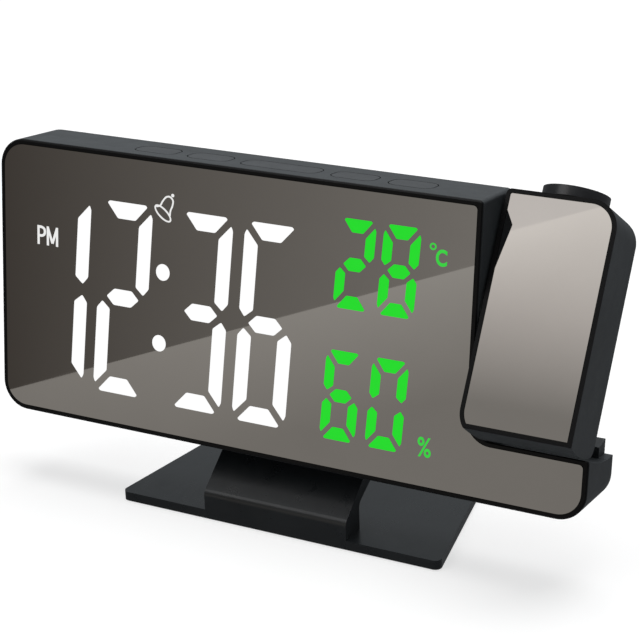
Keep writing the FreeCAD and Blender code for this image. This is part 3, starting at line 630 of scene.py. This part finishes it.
def textPiece(name, mark, finish, mergeReach=1e-7):
    # Plain letters stretched to the mark's box on the mirror face.
    curve = bpy.data.curves.new(name + "Text", "FONT")
    curve.body = mark["words"]
    curve.offset = mark["bold"]
    source = bpy.data.objects.new(name + "Text", curve)
    scene.collection.objects.link(source)
    bpy.context.view_layer.update()
    flat = bpy.data.meshes.new_from_object(source.evaluated_get(bpy.context.evaluated_depsgraph_get()))
    bpy.data.objects.remove(source)
    rights = stretched([vertex.co.x for vertex in flat.vertices], mark["left"], mark["right"])
    highs = stretched([vertex.co.y for vertex in flat.vertices], mark["low"], mark["high"])
    for vertex, right, high in zip(flat.vertices, rights, highs):
        vertex.co = bodyFace.at(right, high, proudOfMirror)
    build = bmesh.new()
    build.from_mesh(flat)
    bpy.data.meshes.remove(flat)
    bmesh.ops.remove_doubles(build, verts=build.verts, dist=mergeReach)
    made = bmesh.ops.extrude_face_region(build, geom=build.faces[:])
    for item in made["geom"]:
        if isinstance(item, bmesh.types.BMVert):
            item.co += bodyDeep * plateThick * mm
    finishPiece(name, build, finish, "clock_body")


afternoon = {
    "stroke": 0.78,
    "stem": ((13.65, 53.1), (13.65, 58.9)),
    "bowl": ((13.65, 58.5), (14.9, 58.45), (15.75, 57.95), (15.95, 57.1), (15.7, 56.3), (14.9, 55.85),
             (13.65, 55.85)),
    "uprights": (((17.0, 53.1), (17.0, 58.9)), ((20.3, 53.1), (20.3, 58.9))),
    "slopes": (((17.0, 58.7), (18.65, 53.9)), ((18.65, 53.9), (20.3, 58.7))),
}
build = bmesh.new()
addStroke(build, smoothPath(afternoon["bowl"]), afternoon["stroke"])
for ends in (afternoon["stem"], *afternoon["uprights"], *afternoon["slopes"]):
    addStroke(build, [Vector(end) for end in ends], afternoon["stroke"])
finishPiece("pm_mark", build, "markGlow", "clock_body")

percent = {"words": "%", "left": 140.3, "right": 144.4, "low": 10.2, "high": 16.0, "bold": 0.012}
textPiece("percent_mark", percent, "unitGlow")
celsius = {"words": "C", "left": 143.1, "right": 146.4, "low": 64.9, "high": 69.6, "bold": 0.03}
textPiece("celsius_mark", celsius, "unitGlow")

degree = {"middle": (142.15, 70.1), "radius": 0.78, "stroke": 0.46}
build = bmesh.new()
rims = [disc(degree["middle"], degree["radius"] + side, smallRoundCount)
        for side in (degree["stroke"] / 2, -degree["stroke"] / 2)]
addRing(build, bodyFace, *rims, proudOfMirror, plateThick)
finishPiece("degree_mark", build, "unitGlow", "clock_body")
print("display built")


# Stage: floor, lamps and the cards that the mirrors reflect
def reflectionOnly(plane):
    plane.visible_camera = False
    plane.visible_diffuse = False
    plane.visible_shadow = False
    plane.visible_transmission = False


def emissionMaterial(name):
    material = bpy.data.materials.new(name)
    material.use_nodes = True
    tree = material.node_tree
    tree.nodes.clear()
    output = tree.nodes.new("ShaderNodeOutputMaterial")
    glow = tree.nodes.new("ShaderNodeEmission")
    tree.links.new(glow.outputs["Emission"], output.inputs["Surface"])
    return material, glow


def stagePlane(name, corners, material):
    mesh = bpy.data.meshes.new(name)
    mesh.from_pydata(corners, [], [tuple(range(len(corners)))])
    mesh.materials.append(material)
    plane = bpy.data.objects.new(name, mesh)
    scene.collection.objects.link(plane)
    return plane


floorLook = {
    "Base Color": (0.4, 0.4, 0.4, 1),
    "Emission Color": (1, 1, 1, 1),
    "Emission Strength": 0.66,
    "Roughness": 0.9,
    "Specular IOR Level": 0.1,
}
floorHalf = 6.0
floorMaterial, floorTree, floorShader = newMaterial("stageFloor")
for name, value in floorLook.items():
    feed(floorTree, floorShader.inputs[name], value)
floor = stagePlane("floor", [(-floorHalf, -floorHalf, 0), (floorHalf, -floorHalf, 0),
                             (floorHalf, floorHalf, 0), (-floorHalf, floorHalf, 0)], floorMaterial)
floor.visible_glossy = False

back = {"tone": (0.50, 0.535, 0.56), "left": -3.0, "right": 1.8, "behind": 1.5, "low": 0.2, "high": 2.6}
backMaterial, backGlow = emissionMaterial("backCard")
backGlow.inputs["Color"].default_value = solid(back["tone"])
backCard = stagePlane("backCard", [(back["left"], back["behind"], back["low"]),
                                   (back["right"], back["behind"], back["low"]),
                                   (back["right"], back["behind"], back["high"]),
                                   (back["left"], back["behind"], back["high"])], backMaterial)
reflectionOnly(backCard)

# The camera sees a white surround, and everything else gets a weaker, slightly blue one.
surround = {"shown": (1, 1, 1), "shownStrength": 1.0, "ambient": (0.93, 0.96, 1.0), "ambientStrength": 0.16}
world = bpy.data.worlds.new("studio")
scene.world = world
world.use_nodes = True
worldTree = world.node_tree
worldTree.nodes.clear()


def background(tone, strength):
    made = worldTree.nodes.new("ShaderNodeBackground")
    made.inputs["Color"].default_value = solid(tone)
    made.inputs["Strength"].default_value = strength
    return made.outputs["Background"]


worldOut = worldTree.nodes.new("ShaderNodeOutputWorld")
rays = worldTree.nodes.new("ShaderNodeLightPath").outputs
chooser = worldTree.nodes.new("ShaderNodeMixShader")
direct = calculated(worldTree, "MAXIMUM", rays["Is Camera Ray"], rays["Is Transmission Ray"])
worldTree.links.new(direct, chooser.inputs["Fac"])
worldTree.links.new(background(surround["ambient"], surround["ambientStrength"]), chooser.inputs[1])
worldTree.links.new(background(surround["shown"], surround["shownStrength"]), chooser.inputs[2])
worldTree.links.new(chooser.outputs["Shader"], worldOut.inputs["Surface"])

lampTarget = Vector((0, 0, 0.05))
lamps = {
    "skyLamp": {"place": (0.1, 0.25, 1.7), "size": 1.4, "power": 30.0},
    "keyLamp": {"place": (-0.7, -0.9, 1.2), "size": 0.9, "power": 5.0},
}
for name, spec in lamps.items():
    data = bpy.data.lights.new(name, "AREA")
    data.shape = "SQUARE"
    data.size = spec["size"]
    data.energy = spec["power"]
    lamp = bpy.data.objects.new(name, data)
    scene.collection.objects.link(lamp)
    lamp.location = spec["place"]
    lamp.rotation_euler = (lampTarget - Vector(spec["place"])).to_track_quat("-Z", "Y").to_euler()


def reflectedSpot(place, face, cardDepth):
    # Where the camera's ray to a place on the face goes on to meet an upright plane in front of the clock.
    ray = (place - camPlace).normalized()
    normal = -face.deep
    bounce = ray - normal * 2 * ray.dot(normal)
    return place + bounce * ((cardDepth - place.y) / bounce.y)


def between(first, second, share):
    share = min(max(share, 0.0), 1.0)
    return tuple(a + (b - a) * share for a, b in zip(first, second))


def reflectedCard(name, face, cardDepth, lows, highs, shade, columns, rows):
    # A card in front of the clock, so shaped that the mirror shows shade(right, high) of its own millimetres.
    places = []
    tones = []
    for j in range(rows + 1):
        for i in range(columns + 1):
            right = lows[0][0] + (lows[1][0] - lows[0][0]) * i / columns
            low = lows[0][1] + (lows[1][1] - lows[0][1]) * i / columns
            high = highs[0][1] + (highs[1][1] - highs[0][1]) * i / columns
            level = low + (high - low) * j / rows
            places.append(reflectedSpot(face.at(right, level), face, cardDepth))
            tones.append(shade(right, level))
    line = columns + 1
    quads = [(j * line + i, j * line + i + 1, (j + 1) * line + i + 1, (j + 1) * line + i)
             for j in range(rows) for i in range(columns)]
    material, glow = emissionMaterial(name)
    tree = material.node_tree
    tint = tree.nodes.new("ShaderNodeAttribute")
    tint.attribute_name = "shade"
    tree.links.new(tint.outputs["Color"], glow.inputs["Color"])
    mesh = bpy.data.meshes.new(name)
    mesh.from_pydata([tuple(place) for place in places], [], quads)
    layer = mesh.color_attributes.new(name="shade", type="FLOAT_COLOR", domain="POINT")
    for value, tone in zip(layer.data, tones):
        value.color = solid(tone)
    mesh.materials.append(material)
    card = bpy.data.objects.new(name, mesh)
    scene.collection.objects.link(card)
    reflectionOnly(card)


def lineHeight(glare, right):
    (x0, y0), (x1, y1) = glare["line"]
    return y0 + (y1 - y0) * (right - x0) / (x1 - x0)


def glarePair(aboveName, belowName, face, glare, above, below):
    # Two cards that meet in the glare's diagonal line.
    edges = (glare["left"], glare["right"])
    lineEnds = [(x, lineHeight(glare, x)) for x in edges]
    topEnds = [(x, glare["top"]) for x in edges]
    lowEnds = [(x, glare["bottom"]) for x in edges]
    reflectedCard(aboveName, face, glare["depth"], lineEnds, topEnds, above, *glare["aboveGrid"])
    reflectedCard(belowName, face, glare["depth"], lowEnds, lineEnds, below, *glare["belowGrid"])


# Reflection in the body mirror: a dark room above a diagonal edge, a paler one below it
bodyGlare = {
    "depth": -0.25,
    "left": -30.0, "right": 230.0, "bottom": -25.0, "top": 120.0,
    "line": ((24, 14.0), (150, 64.8)), "aboveGrid": (24, 12), "belowGrid": (24, 12),
    "darkLeft": (0.17, 0.146, 0.125), "darkRight": (0.60, 0.555, 0.50), "darkWidth": 160,
    "paleLeft": (0.68, 0.63, 0.57), "paleRight": (0.96, 0.90, 0.82), "paleWidth": 150,
    "paleLow": (0.60, 0.555, 0.50), "paleFade": 36,
}


def aboveLine(right, high):
    return between(bodyGlare["darkLeft"], bodyGlare["darkRight"], right / bodyGlare["darkWidth"])


def belowLine(right, high):
    near = between(bodyGlare["paleLeft"], bodyGlare["paleRight"], right / bodyGlare["paleWidth"])
    return between(near, bodyGlare["paleLow"], (lineHeight(bodyGlare, right) - high) / bodyGlare["paleFade"])


glarePair("glareAbove", "glareBelow", bodyFace, bodyGlare, aboveLine, belowLine)

# Reflection in the head's mirror: bright sky that fades downwards, with one faint diagonal edge near the top
headGlare = {
    "depth": -0.5,
    "left": 150.0, "right": 200.0, "bottom": 8.0, "top": 100.0,
    "line": ((156, 71.0), (189, 84.7)), "aboveGrid": (24, 12), "belowGrid": (12, 40),
    "topTone": (1.92, 1.79, 1.68), "underLine": (2.24, 2.09, 1.94), "middleTone": (1.50, 1.38, 1.28),
    "lowTone": (0.64, 0.595, 0.54), "turnHigh": 52.0, "endHigh": 26.0,
}


def aboveHeadLine(right, high):
    return headGlare["topTone"]


def belowHeadLine(right, high):
    turnHigh = headGlare["turnHigh"]
    if high > turnHigh:
        lineHigh = lineHeight(headGlare, right)
        share = (lineHigh - high) / (lineHigh - turnHigh)
        return between(headGlare["underLine"], headGlare["middleTone"], share)
    share = (turnHigh - high) / (turnHigh - headGlare["endHigh"])
    return between(headGlare["middleTone"], headGlare["lowTone"], share)


glarePair("headGlareAbove", "headGlareBelow", headFace, headGlare, aboveHeadLine, belowHeadLine)
print("stage built")

scene.view_settings.view_transform = "Standard"
